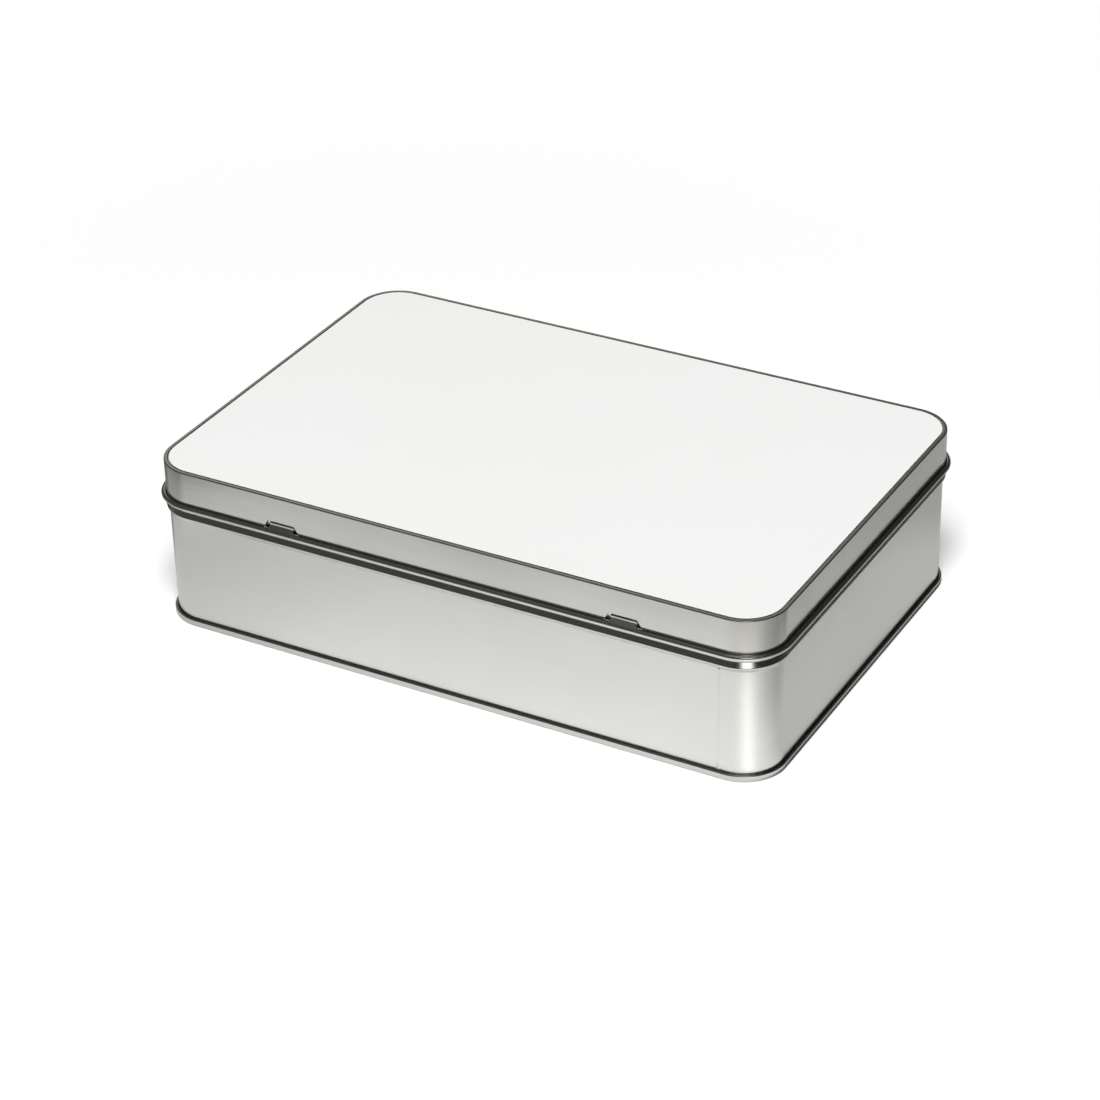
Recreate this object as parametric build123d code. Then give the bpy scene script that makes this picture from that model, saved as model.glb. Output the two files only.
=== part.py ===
"""Card game tin with a hinged lid, as sheet-metal pieces in one frame.

Millimetres. X runs along the long side, Y from the front edge to the hinge edge, Z up.
The tin stands on Z = 0 and the centre of its body is over the origin. The lid is shut.
"""

import os
from math import atan2, cos, degrees, radians, sin, sqrt

from build123d import *

# Driving sizes
lid_length = 198.5  # outside of the lid skirt along X
lid_width = 131.4  # outside of the lid skirt along Y
lid_corner = 12.75  # outside corner radius of the skirt
tin_height = 51.6  # resting plane to the crest of the lid rim
sheet = 0.23  # tinplate
lid_drop = 11.2  # lid crest down to the centre of the lid curl
lid_clearance = 0.45  # between the skirt's inside and the body wall

rim_inset = 1.5  # outside of the skirt to the edge of the printed plate
shoulder_radius = 0.3  # outside of the lid's top edge
plate_thick = 0.5
adhesive_thick = 0.1
plate_gap = 0.15  # between the plate and the wall of its recess
recess_bend = 0.32  # middle of the sheet, both bends of the recess wall
curl_radius = 0.85  # outside of the lid curl
curl_end = 122.0  # angle of the curl's free edge, from straight out

bead_half = 1.7  # half height of the stop bead
bead_out = 0.85  # how far the bead stands out of the body wall
bead_bend = 0.35  # middle of the sheet, the bends of the bead
bead_drop = 3.83  # middle of the lid curl down to the middle of the bead
rim_curl_radius = 0.8  # outside of the inward curl on the body's mouth
rim_gap = 0.32  # between that curl and the lid panel above it

seam_height = 2.1  # double seam round the bottom
seam_gap = 0.12  # between neighbouring layers of the seam
cover_hook = 0.65  # straight length of the bottom's hook inside the seam
seam_corner = 0.36  # middle of the sheet, lower corners of the seam
floor_height = 3.4  # resting plane to the underside of the bottom panel
floor_bend = 0.6  # middle of the sheet, panel to its upright wall

lug_width = 8.0
lug_rise = 2.75  # crest of the lug above the centre of the lid curl
lug_bend = 0.26  # middle of the sheet, where the lug doubles over
lug_face = 0.35  # upright run under that bend
lug_turn = 0.3  # middle of the sheet, from the upright run into the slope
lug_gap = 0.1  # between the lug and the lid curl it wraps
lug_tip = 24.0  # angle of the lug's free edge, from straight out
lug_middle = -1.25  # middle of the pair of windows along X
lug_spread = 109.7  # distance between the two windows
lug_shift = -0.2  # middle of a lug from the middle of its window
side_gap = 0.45  # top corner of a window to the side of its lug
window_slant = 1.8  # how much further each side of a window reaches at its foot
window_rise = 3.25  # top of a window above the centre of the lid curl
window_corner = 0.7
notch_gap = 0.15  # slit between a lug and the wall beside it
notch_root = 0.6  # how far under the lug's bend the slit reaches

weld_offset = 1.8  # body's welded side seam, from the end of the flat rear wall
weld_width = 1.1
weld_thick = 0.07

# Sizes that follow
half_sheet = sheet / 2
axis_z = tin_height - lid_drop
curl_out = curl_radius - sheet  # curl centre outside the skirt's outer face
body_inset = sheet + lid_clearance
recess_depth = plate_thick + adhesive_thick
panel_under = tin_height - recess_depth - sheet
seam_step = sheet + seam_gap
bead_z = axis_z - bead_drop


def step(point, heading, turn, size):
    """Walk on from a point: a straight run of length size, or a bend of radius size."""
    here = Vector(*point)
    along = Vector(cos(heading), sin(heading))
    if turn == 0:
        return here + along * size, heading, None
    side = 1 if turn > 0 else -1
    centre = here + Vector(-along.Y, along.X) * (side * size)
    return centre + (here - centre).rotate(Axis.Z, degrees(turn)), heading + turn, centre


def sheet_face(start, heading, moves, thick=sheet):
    """Closed face of one bent sheet, walked along its middle.

    Moves are ("run", length) or ("bend", radius, degrees), left turns positive.
    """
    left, right = [], []
    point, angle = Vector(*start), radians(heading)
    for move in moves:
        turn = radians(move[2]) if move[0] == "bend" else 0.0
        after, new_angle, centre = step((point.X, point.Y), angle, turn, move[1])
        for edges, side in ((left, 1), (right, -1)):
            a = point + Vector(-sin(angle), cos(angle)) * (side * thick / 2)
            b = after + Vector(-sin(new_angle), cos(new_angle)) * (side * thick / 2)
            if centre is None:
                edges.append(Line(a, b))
            else:
                mid = centre + (a - centre).rotate(Axis.Z, degrees(turn) / 2)
                edges.append(ThreePointArc(a, mid, b))
        point, angle = after, new_angle
    caps = [Line(left[0] @ 0, right[0] @ 0), Line(left[-1] @ 1, right[-1] @ 1)]
    return Face(Wire(left + right + caps))


def ring(section, length, width, corner):
    """Run a section round a rounded rectangle: four straight sides and four corners.

    The section is drawn with its X as the distance out from the outline and Y as height.
    """
    half_x, half_y = length / 2 - corner, width / 2 - corner
    centres = [(half_x, half_y), (-half_x, half_y), (-half_x, -half_y), (half_x, -half_y)]
    pieces = []
    for k, (cx, cy) in enumerate(centres):
        turn = 90 * k
        out = Vector(1, 0, 0).rotate(Axis.Z, turn)
        tangent = Vector(0, 1, 0).rotate(Axis.Z, turn)
        face = section.moved(Plane(Vector(cx, cy, 0) + out * corner, x_dir=out, z_dir=-tangent).location)
        pieces.append(revolve(face, Axis((cx, cy, 0), (0, 0, 1)), 90))
        side = 2 * (half_y if k % 2 == 0 else half_x)
        pieces.append(extrude(face, amount=side, dir=-tangent))
    return pieces[0].fuse(*pieces[1:])


def slab(length, width, corner, low, thick):
    """A flat plate with rounded corners."""
    outline = RectangleRounded(length, width, corner)
    return extrude(outline, amount=thick).moved(Location((0, 0, low)))


def solid_of(shape):
    """The one solid of a fused shape."""
    solids = shape.solids()
    assert len(solids) == 1, f"{len(solids)} solids"
    return solids[0]


def hinge_positions():
    """X of the middle of each hinge window."""
    return [lug_middle - lug_spread / 2, lug_middle + lug_spread / 2]


def lid_panel_inset():
    """Outside of the skirt to where the lid's flat panel begins."""
    return rim_inset - plate_gap + recess_bend - half_sheet


def lid_section():
    """Lid sheet from the edge of its flat panel, over the rim and down the skirt to its curl."""
    start = (-lid_panel_inset() - 0.6, tin_height - recess_depth - half_sheet)
    wall = recess_depth - 2 * recess_bend
    up = 90.0
    if wall < 0:
        up = degrees(2 * atan2(sqrt(recess_depth), sqrt(4 * recess_bend - recess_depth)))
    across = 2 * recess_bend * sin(radians(up)) if wall < 0 else 2 * recess_bend
    crest = -shoulder_radius - (start[0] + 0.6 + across)
    return sheet_face(
        start,
        0,
        [("run", 0.6), ("bend", recess_bend, up)]
        + ([("run", wall)] if wall > 1e-6 else [])
        + [("bend", recess_bend, -up), ("run", crest)]
        + [("bend", shoulder_radius - half_sheet, -90)]
        + [("run", lid_drop - shoulder_radius)]
        + [("bend", curl_radius - half_sheet, 180.0), ("bend", curl_radius - half_sheet, curl_end)],
    )


def windows():
    """Cutters of the two hinge windows in the rear skirt, wider at the foot than at the top."""
    top = lug_width / 2 + side_gap
    foot = top + window_slant
    corners = [(-foot, 0), (foot, 0), (top, window_rise), (-top, window_rise)]
    face = make_face(Polyline(*corners, close=True))
    upper = face.vertices().sort_by(Axis.Y)[-2:]
    face = fillet(upper, window_corner)
    upright = Plane((0, 0, 0), x_dir=(1, 0, 0), z_dir=(0, -1, 0)).location
    cutters = []
    for x in hinge_positions():
        place = Location((x, lid_width / 2 - 2 * sheet, axis_z))
        cutters.append(extrude(face.moved(place * upright), amount=2.35 * sheet, dir=(0, 1, 0)))
    return cutters


def make_lid_shell():
    """Drawn lid: recessed top, raised rim, skirt with two hinge windows, outward curl."""
    shell = ring(lid_section(), lid_length, lid_width, lid_corner)
    inset = lid_panel_inset() + 0.6
    panel = slab(
        lid_length - 2 * inset,
        lid_width - 2 * inset,
        lid_corner - inset,
        panel_under,
        sheet,
    )
    shell = shell.fuse(panel)
    for cutter in windows():
        shell = shell - cutter
    return solid_of(shell)


def make_print_plate():
    """White coated plate, flush with the crest of the lid rim."""
    inset = rim_inset
    length, width = lid_length - 2 * inset, lid_width - 2 * inset
    return solid_of(slab(length, width, lid_corner - inset, tin_height - plate_thick, plate_thick))


def make_adhesive_sheet():
    """Film of adhesive between the plate and the lid panel."""
    inset = lid_panel_inset() + half_sheet
    length, width = lid_length - 2 * inset, lid_width - 2 * inset
    low = tin_height - recess_depth
    return solid_of(slab(length, width, lid_corner - inset, low, adhesive_thick))


def bead_moves():
    """Stop bead, from wall to wall: a straight slope out, a tight crest and a slope back in."""
    across = bead_out - 2 * bead_bend
    flank = sqrt(across**2 + bead_half**2 - (2 * bead_bend) ** 2)
    swing = degrees(atan2(across, bead_half) + atan2(2 * bead_bend, flank))
    slope = ("run", flank)
    return [
        ("bend", bead_bend, -swing),
        slope,
        ("bend", bead_bend, 2 * swing),
        slope,
        ("bend", bead_bend, -swing),
    ]


def body_section():
    """Body sheet from the hook inside the bottom seam up to the curl on its mouth."""
    fold = seam_step
    low = sheet + seam_gap + fold + half_sheet  # middle of the sheet's lowest turn above Z = 0
    hook_top = seam_height - 2 * sheet - 2 * seam_gap
    start = (-half_sheet + 2 * fold, hook_top)
    mouth = panel_under - rim_gap
    return sheet_face(
        start,
        -90,
        [("run", hook_top - low), ("bend", fold, -180.0)]
        + [("run", bead_z - bead_half - low)]
        + bead_moves()
        + [("run", mouth - rim_curl_radius - bead_z - bead_half)]
        + [("bend", rim_curl_radius - half_sheet, 180.0), ("bend", rim_curl_radius - half_sheet, 100.0)],
    )


def lug_crest():
    """Height of the middle of the bend where a lug doubles over."""
    return axis_z + lug_rise - half_sheet - lug_bend


def lug_section():
    """Lug: up from the rear wall, doubled over in the lid's window, down onto the lid curl.

    Drawn with X as the distance out from the skirt and Y as height.
    """
    wall = -body_inset - half_sheet
    crest = lug_crest()
    wrap = curl_radius + lug_gap + half_sheet
    turn_x, turn_z = wall + 2 * lug_bend + lug_turn, crest - lug_face
    dx, dz = curl_out - turn_x, axis_z - turn_z
    reach = lug_turn + wrap
    run = sqrt(dx**2 + dz**2 - reach**2)
    slope = degrees(atan2(dz, dx) + atan2(reach, run))
    root = notch_root + 1.0
    return sheet_face(
        (wall, crest - root),
        90,
        [("run", root), ("bend", lug_bend, -180.0), ("run", lug_face)]
        + [("bend", lug_turn, slope + 90.0), ("run", run)]
        + [("bend", wrap, lug_tip - (slope + 90.0))],
    )


def make_lug(x):
    """One hinge lug of the body."""
    face = lug_section()
    plane = Plane((x + lug_width / 2, lid_width / 2, 0), x_dir=(0, 1, 0), z_dir=(1, 0, 0))
    return extrude(face.moved(plane.location), amount=lug_width, dir=(-1, 0, 0))


def make_notch(x):
    """Cutter that opens the rear wall above one lug, with a slit down each side of it."""
    bottom = lug_crest() - notch_root
    tall = tin_height - bottom
    width = lug_width + 2 * notch_gap
    deep = 4 * rim_curl_radius + 2 * body_inset
    block = Box(width, deep, tall).moved(Location((x, lid_width / 2 - body_inset, bottom + tall / 2)))
    core_tall = notch_root
    core = Box(lug_width, deep * 2, core_tall)
    return block - core.moved(Location((x, lid_width / 2 - body_inset, bottom + core_tall / 2)))


def make_weld():
    """Lap of the welded side seam, standing a little out of the rear wall."""
    low, high = seam_height + seam_gap, bead_z - bead_half
    wall = lid_width / 2 - body_inset
    x = -lid_length / 2 + lid_corner + weld_offset
    lap = Box(weld_width, weld_thick + half_sheet, high - low)
    return lap.moved(Location((x, wall + (weld_thick - half_sheet) / 2, (low + high) / 2)))


def make_body_wall():
    """Body: one welded strip of tinplate with mouth curl, stop bead, seam hook and two lugs."""
    corner = lid_corner - body_inset
    wall = ring(body_section(), lid_length - 2 * body_inset, lid_width - 2 * body_inset, corner)
    for x in hinge_positions():
        wall = wall - make_notch(x + lug_shift)
        wall = wall.fuse(make_lug(x + lug_shift))
    return solid_of(wall.fuse(make_weld()))


def bottom_section():
    """Bottom panel's edge: floor, upright wall, under the seam, up its outside and hooked over."""
    inner = -half_sheet - seam_step
    outer = -half_sheet + 3 * seam_step
    start = (inner - floor_bend - 0.6, floor_height + half_sheet)
    drop = floor_height + half_sheet - floor_bend - half_sheet - seam_corner
    flat = outer - inner - 2 * seam_corner
    top = seam_height - half_sheet - seam_step
    rise = top - half_sheet - seam_corner
    return sheet_face(
        start,
        0,
        [("run", 0.6), ("bend", floor_bend, -90), ("run", drop), ("bend", seam_corner, 90)]
        + [("run", flat), ("bend", seam_corner, 90), ("run", rise)]
        + [("bend", seam_step, 180), ("run", cover_hook)],
    )


def make_bottom_panel():
    """Drawn bottom with its double seam round the foot of the body."""
    corner = lid_corner - body_inset
    length, width = lid_length - 2 * body_inset, lid_width - 2 * body_inset
    edge = ring(bottom_section(), length, width, corner)
    inset = half_sheet + seam_step + floor_bend + 0.6
    floor = slab(length - 2 * inset, width - 2 * inset, corner - inset, floor_height, sheet)
    return solid_of(edge.fuse(floor))


def main():
    """Write every piece of the tin."""
    os.makedirs("parts", exist_ok=True)
    pieces = {
        "body_wall": make_body_wall(),
        "bottom_panel": make_bottom_panel(),
        "lid_shell": make_lid_shell(),
        "print_plate": make_print_plate(),
        "adhesive_sheet": make_adhesive_sheet(),
    }
    for name, piece in pieces.items():
        export_step(piece, f"parts/{name}.step")
        box = piece.bounding_box()
        print(name, round(piece.volume, 1), box.min, box.max)


main()
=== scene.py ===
"""Card game tin with a hinged lid: its visible pieces, finishes, light and camera.

Metres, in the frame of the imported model. X runs along the long side, the opening edge is at -Y
and the hinge edge at +Y, Z is up, and the tin stands on Z = 0 with its lid shut.
"""

import logging
from dataclasses import dataclass, field
from enum import Enum
from functools import reduce
from math import atan2, ceil, cos, pi, radians, sin, sqrt, tan

import bmesh
import bpy
from bpy.types import Material, Node, NodeSocket, NodeTree, Object
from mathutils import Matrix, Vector


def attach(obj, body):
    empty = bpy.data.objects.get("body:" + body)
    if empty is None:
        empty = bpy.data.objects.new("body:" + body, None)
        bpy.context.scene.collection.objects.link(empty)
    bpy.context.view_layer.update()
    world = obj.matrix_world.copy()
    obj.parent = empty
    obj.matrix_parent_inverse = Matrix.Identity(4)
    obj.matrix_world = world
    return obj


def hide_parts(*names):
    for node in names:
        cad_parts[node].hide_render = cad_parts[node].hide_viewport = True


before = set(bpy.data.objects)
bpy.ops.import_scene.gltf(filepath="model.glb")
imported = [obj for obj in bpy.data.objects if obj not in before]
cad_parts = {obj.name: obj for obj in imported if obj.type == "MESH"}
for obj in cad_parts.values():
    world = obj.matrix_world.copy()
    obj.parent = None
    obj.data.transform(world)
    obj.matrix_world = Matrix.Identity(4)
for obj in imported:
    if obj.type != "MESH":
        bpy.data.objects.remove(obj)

Pair = tuple[float, float]
Triple = tuple[float, float, float]
Rgba = tuple[float, float, float, float]

LOG = logging.getLogger("tin")
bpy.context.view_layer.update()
MM = 0.001
WHITE = (1.0, 1.0, 1.0, 1.0)
# Number inputs of the inner_face effect.
FACE_LIMITS = ("Straight X", "Straight Y", "Corner", "Half Sheet", "Low", "High")
EAST, NORTH, UP = Vector((1, 0, 0)), Vector((0, 1, 0)), Vector((0, 0, 1))


class Body(Enum):
    """The two bodies that the hinge joins."""

    BASE = "body"
    LID = "lid"


class Grain(Enum):
    """How the rolling lines of a sheet lie on its piece."""

    ROUND_THE_WALL = "uv"
    ALONG_X = "object"


# ---- shared shape tools


@dataclass(frozen=True)
class Outline:
    """A rounded rectangle seen from above."""

    length: float
    width: float
    corner: float

    @property
    def straight(self) -> Pair:
        """Half the length of the straight sides along X and along Y."""
        return (self.length / 2 - self.corner, self.width / 2 - self.corner)

    def inset(self, amount: float) -> "Outline":
        """The same outline moved inward by an amount."""
        return Outline(self.length - 2 * amount, self.width - 2 * amount, self.corner - amount)

    def stations(self, arc_steps: int) -> list[tuple[Vector, Vector, float]]:
        """Points round the outline, with their outward direction and distance travelled.

        Args:
            arc_steps: Number of steps in each quarter-round corner.

        Returns:
            One (centre of corner, outward direction, distance) for each station.
        """
        half_x, half_y = self.straight
        centres = ((half_x, half_y), (-half_x, half_y), (-half_x, -half_y), (half_x, -half_y))
        out, travelled = [], 0.0
        for k, (cx, cy) in enumerate(centres):
            for i in range(arc_steps + 1):
                angle = pi / 2 * (k + i / arc_steps)
                out.append((Vector((cx, cy, 0)), Vector((cos(angle), sin(angle), 0)), travelled))
                travelled += self.corner * pi / 2 / arc_steps if i < arc_steps else 0.0
            travelled += 2 * (half_x if k % 2 == 0 else half_y)
        return out


@dataclass
class SheetWalk:
    """The section of one bent sheet, walked along its middle.

    Points are (distance out, height). Left turns are positive.
    """

    start: Pair
    heading: float
    thick: float
    bend_step: float = radians(7.5)
    left: list[Vector] = field(default_factory=list)
    right: list[Vector] = field(default_factory=list)

    def __post_init__(self) -> None:
        """Stand at the start."""
        self.point = Vector(self.start)
        self.angle = self.heading
        self._mark()

    @property
    def _aside(self) -> Vector:
        """Direction to the left of the walk."""
        return Vector((-sin(self.angle), cos(self.angle)))

    def _mark(self) -> None:
        """Keep one point on each face of the sheet."""
        side = self._aside * (self.thick / 2)
        self.left.append(self.point + side)
        self.right.append(self.point - side)

    def run(self, length: float, steps: int = 1) -> "SheetWalk":
        """Go straight on for a length."""
        for _ in range(steps):
            self.point = self.point + Vector((cos(self.angle), sin(self.angle))) * (length / steps)
            self._mark()
        return self

    def bend(self, radius: float, turn: float) -> "SheetWalk":
        """Turn round an arc of a radius, measured at the middle of the sheet."""
        steps = max(2, ceil(abs(turn) / self.bend_step))
        side = 1.0 if turn > 0 else -1.0
        centre = self.point + self._aside * (side * radius)
        begin = self.angle
        for i in range(1, steps + 1):
            self.angle = begin + turn * i / steps
            self.point = centre - self._aside * (side * radius)
            self._mark()
        return self

    def section(self) -> list[Vector]:
        """The closed outline: up one face of the sheet and back down the other."""
        return self.left + self.right[::-1]


def swept_ring(
    name: str, section: list[Vector], outline: Outline, arc_steps: int, fill: bool = True
) -> Object:
    """Sweep a closed section round an outline.

    Args:
        name: Name of the new object.
        section: Closed loop of (distance out, height) points.
        outline: The rounded rectangle that distance 0 follows.
        arc_steps: Steps in each corner.
        fill: Whether the first and last points of the section carry on as a flat panel.

    Returns:
        The new mesh object, with a UV map in metres (round the outline, along the section).
    """
    bm = bmesh.new()
    uv = bm.loops.layers.uv.new("sheet")
    stations = outline.stations(arc_steps)
    along = [0.0]
    for a, b in zip(section, section[1:]):
        along.append(along[-1] + (b - a).length)
    rows = []
    for centre, out, _ in stations:
        places = [centre + out * (outline.corner + p.x) + UP * p.y for p in section]
        rows.append([bm.verts.new(place) for place in places])
    around = [travelled for _, _, travelled in stations]
    around.append(around[-1] + outline.width - 2 * outline.corner)
    count, points = len(rows), len(section)
    for s in range(count):
        t = (s + 1) % count
        for p in range(points - 1 if fill else points):
            q = (p + 1) % points
            face = bm.faces.new((rows[s][p], rows[s][q], rows[t][q], rows[t][p]))
            us = (around[s], around[s], around[s + 1], around[s + 1])
            low, high = along[p], along[q or p]
            for loop, u, v in zip(face.loops, us, (low, high, high, low)):
                loop[uv].uv = (u, v)
    if fill:
        for loop_verts in ([r[0] for r in rows], [r[-1] for r in rows]):
            bm.faces.new(loop_verts)
    bmesh.ops.recalc_face_normals(bm, faces=bm.faces)
    return finished_mesh(name, bm)


def linked(name: str, data: bpy.types.ID) -> Object:
    """Add an object with its data to the scene."""
    obj = bpy.data.objects.new(name, data)
    bpy.context.scene.collection.objects.link(obj)
    return obj


def finished_mesh(name: str, bm: bmesh.types.BMesh) -> Object:
    """Turn a bmesh into a linked object and free it."""
    mesh = bpy.data.meshes.new(name)
    bm.to_mesh(mesh)
    bm.free()
    return linked(name, mesh)


def prism(name: str, outline: list[Pair], origin: Vector, u: Vector, v: Vector, w: Vector) -> Object:
    """Extrude a flat outline.

    Args:
        name: Name of the new object.
        outline: Corner points along u and v.
        origin: Where (0, 0) of the outline is.
        u: Direction of the outline's first number.
        v: Direction of its second number.
        w: Extrusion, direction and length.

    Returns:
        The closed mesh object.
    """
    bm = bmesh.new()
    low = [bm.verts.new(origin + u * a + v * b) for a, b in outline]
    high = [bm.verts.new(vert.co + w) for vert in low]
    bm.faces.new(low)
    bm.faces.new(high[::-1])
    for i in range(len(low)):
        j = (i + 1) % len(low)
        bm.faces.new((low[i], high[i], high[j], low[j]))
    bmesh.ops.recalc_face_normals(bm, faces=bm.faces)
    return finished_mesh(name, bm)


def rounded_points(corners: list[Triple], steps: int = 8) -> list[Pair]:
    """Round the corners of a polygon.

    Args:
        corners: (x, y, radius) of each corner in order.
        steps: Steps in each rounded corner.

    Returns:
        The points of the rounded outline.
    """
    out = []
    count = len(corners)
    for i, (x, y, r) in enumerate(corners):
        here = Vector((x, y))
        if r <= 0:
            out.append((x, y))
            continue
        back = (Vector(corners[i - 1][:2]) - here).normalized()
        ahead = (Vector(corners[(i + 1) % count][:2]) - here).normalized()
        half = back.angle(ahead) / 2
        centre = here + (back + ahead).normalized() * (r / sin(half))
        first, last = here + back * (r / tan(half)) - centre, here + ahead * (r / tan(half)) - centre
        for k in range(steps + 1):
            p = centre + first.slerp(last, k / steps).normalized() * r
            out.append((p.x, p.y))
    return out


def cut(obj: Object, cutter: Object) -> None:
    """Subtract a cutter from a piece and remove the cutter."""
    modifier = obj.modifiers.new("cut", "BOOLEAN")
    modifier.operation = "DIFFERENCE"
    modifier.solver = "EXACT"
    modifier.object = cutter
    apply_modifiers(obj)
    bpy.data.objects.remove(cutter, do_unlink=True)


def apply_modifiers(obj: Object) -> None:
    """Bake an object's modifiers into its mesh."""
    graph = bpy.context.evaluated_depsgraph_get()
    baked = bpy.data.meshes.new_from_object(obj.evaluated_get(graph))
    obj.modifiers.clear()
    obj.data = baked


def merge(obj: Object, other: Object) -> None:
    """Add another object's mesh to a piece and remove the other object."""
    bm = bmesh.new()
    bm.from_mesh(obj.data)
    bm.from_mesh(other.data)
    bm.to_mesh(obj.data)
    bm.free()
    bpy.data.objects.remove(other, do_unlink=True)


def dress(obj: Object, finish: Material, sharp: float = 40.0) -> None:
    """Give a piece its finish, shaded smooth but for edges sharper than an angle in degrees."""
    obj.data.shade_smooth()
    obj.data.set_sharp_from_angle(angle=radians(sharp))
    obj.modifiers.new("normals", "WEIGHTED_NORMAL").keep_sharp = True
    obj.data.materials.append(finish)


# ---- shader tools


@dataclass(frozen=True)
class Ramp:
    """A level that changes over a range of some value and stays as it is outside the range."""

    start: float
    end: float
    before: float = 0.0
    after: float = 1.0
    eased: bool = True


class Graph:
    """Places and links the nodes of one tree."""

    def __init__(self, tree: NodeTree) -> None:
        """Take the tree to work on."""
        self.tree = tree

    def link(self, output: NodeSocket, socket: NodeSocket) -> None:
        """Join an output to an input."""
        self.tree.links.new(output, socket)

    def wire(self, node: Node, inputs: dict) -> None:
        """Give sockets of a node, by name or number, a constant or an output each."""
        for key, value in inputs.items():
            if isinstance(value, NodeSocket):
                self.link(value, node.inputs[key])
            else:
                node.inputs[key].default_value = value

    def node(self, kind: str, inputs: dict | None = None, **settings: object) -> Node:
        """Add a node with its properties, and its inputs as wire takes them."""
        node = self.tree.nodes.new(kind)
        for key, value in settings.items():
            setattr(node, key, value)
        self.wire(node, inputs or {})
        return node

    def group(self, tree: NodeTree, inputs: dict) -> bpy.types.bpy_prop_collection:
        """Add a shared effect and return its outputs."""
        return self.node("ShaderNodeGroup", inputs, node_tree=tree).outputs

    def split(self, vector: NodeSocket) -> bpy.types.bpy_prop_collection:
        """The X, Y and Z of a vector."""
        return self.node("ShaderNodeSeparateXYZ", {0: vector}).outputs

    def ray(self, question: str) -> NodeSocket:
        """One of the Light Path node's answers."""
        return self.node("ShaderNodeLightPath").outputs[question]

    def math(self, operation: str, a: object, b: object = 0.0) -> NodeSocket:
        """One Math node's output."""
        return self.node("ShaderNodeMath", {0: a, 1: b}, operation=operation).outputs[0]

    def product(self, *factors: object) -> NodeSocket:
        """The factors multiplied in order."""
        return reduce(lambda a, b: self.math("MULTIPLY", a, b), factors)

    def total(self, *terms: object) -> NodeSocket:
        """The terms added in order."""
        return reduce(lambda a, b: self.math("ADD", a, b), terms)

    def minus(self, a: object, b: object) -> NodeSocket:
        """One value less another."""
        return self.math("SUBTRACT", a, b)

    def lerp(self, factor: object, a: object, b: object) -> NodeSocket:
        """A value between two values."""
        return self.total(a, self.product(factor, self.minus(b, a)))

    def dot(self, vector: object, along: Vector) -> NodeSocket:
        """How far a vector reaches along a fixed one."""
        both = {0: vector, 1: along}
        return self.node("ShaderNodeVectorMath", both, operation="DOT_PRODUCT").outputs["Value"]

    def beyond(self, xyz: object, half_x: object, half_y: object) -> NodeSocket:
        """Distance outside a rectangle seen from above, nought inside it."""
        sides = []
        for axis, half in (("X", half_x), ("Y", half_y)):
            over = self.minus(self.math("ABSOLUTE", xyz[axis]), half)
            sides.append(self.math("MAXIMUM", over, 0.0))
        return self.math("SQRT", self.total(*(self.product(side, side) for side in sides)))

    def at(self, value: object, ramp: Ramp) -> NodeSocket:
        """The level of a ramp at a value."""
        inputs = {"Value": value, "From Min": ramp.start, "From Max": ramp.end}
        inputs |= {"To Min": ramp.before, "To Max": ramp.after}
        kind = "SMOOTHSTEP" if ramp.eased else "LINEAR"
        return self.node("ShaderNodeMapRange", inputs, interpolation_type=kind).outputs["Result"]

    def remap(
        self, value: object, start: float, end: float, before: float = 0.0, after: float = 1.0
    ) -> NodeSocket:
        """Map a value from one range to another in a straight line, clamped."""
        return self.at(value, Ramp(start, end, before, after, eased=False))

    def noise(self, vector: object, scale: object, detail: float = 3.0, rough: float = 0.5) -> NodeSocket:
        """A noise value round 0.5."""
        inputs = {"Vector": vector, "Scale": scale, "Detail": detail, "Roughness": rough}
        return self.node("ShaderNodeTexNoise", inputs).outputs["Fac"]

    def cells(self, vector: object, scale: float) -> NodeSocket:
        """Distance from the middle of scattered cells."""
        return self.node("ShaderNodeTexVoronoi", {"Vector": vector, "Scale": scale}).outputs["Distance"]

    def scaled(self, vector: object, scale: Triple, turn: Triple = (0, 0, 0)) -> NodeSocket:
        """A vector turned and multiplied by constants."""
        inputs = {"Vector": vector, "Scale": scale, "Rotation": turn}
        return self.node("ShaderNodeMapping", inputs).outputs[0]

    def mix(self, factor: object, a: object, b: object) -> NodeSocket:
        """A colour between two colours."""
        return self.node("ShaderNodeMix", {0: factor, 6: a, 7: b}, data_type="RGBA").outputs[2]

    def bump(
        self,
        height: NodeSocket,
        strength: float,
        distance: float,
        normal: NodeSocket | None = None,
        sunk: bool = False,
    ) -> NodeSocket:
        """A normal that follows a height, raised or sunk."""
        inputs = {"Strength": strength, "Distance": distance, "Height": height}
        if normal is not None:
            inputs["Normal"] = normal
        return self.node("ShaderNodeBump", inputs, invert=sunk).outputs[0]


def effect(name: str, numbers: tuple[str, ...], outs: tuple[str, ...]) -> tuple[Graph, dict, dict]:
    """Start a shared effect that works on coordinates.

    Args:
        name: Name of the node group.
        numbers: Names of its number inputs, beside the coordinates.
        outs: Names of its outputs, all of them numbers.

    Returns:
        The group's graph, its input sockets and its output sockets by name.
    """
    tree = bpy.data.node_groups.new(name, "ShaderNodeTree")
    tree.interface.new_socket("Coordinates", in_out="INPUT", socket_type="NodeSocketVector")
    for label in numbers:
        tree.interface.new_socket(label, in_out="INPUT", socket_type="NodeSocketFloat")
    for label in outs:
        tree.interface.new_socket(label, in_out="OUTPUT", socket_type="NodeSocketFloat")
    source = tree.nodes.new("NodeGroupInput")
    sink = tree.nodes.new("NodeGroupOutput")
    return Graph(tree), {s.name: s for s in source.outputs}, {s.name: s for s in sink.inputs}


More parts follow.
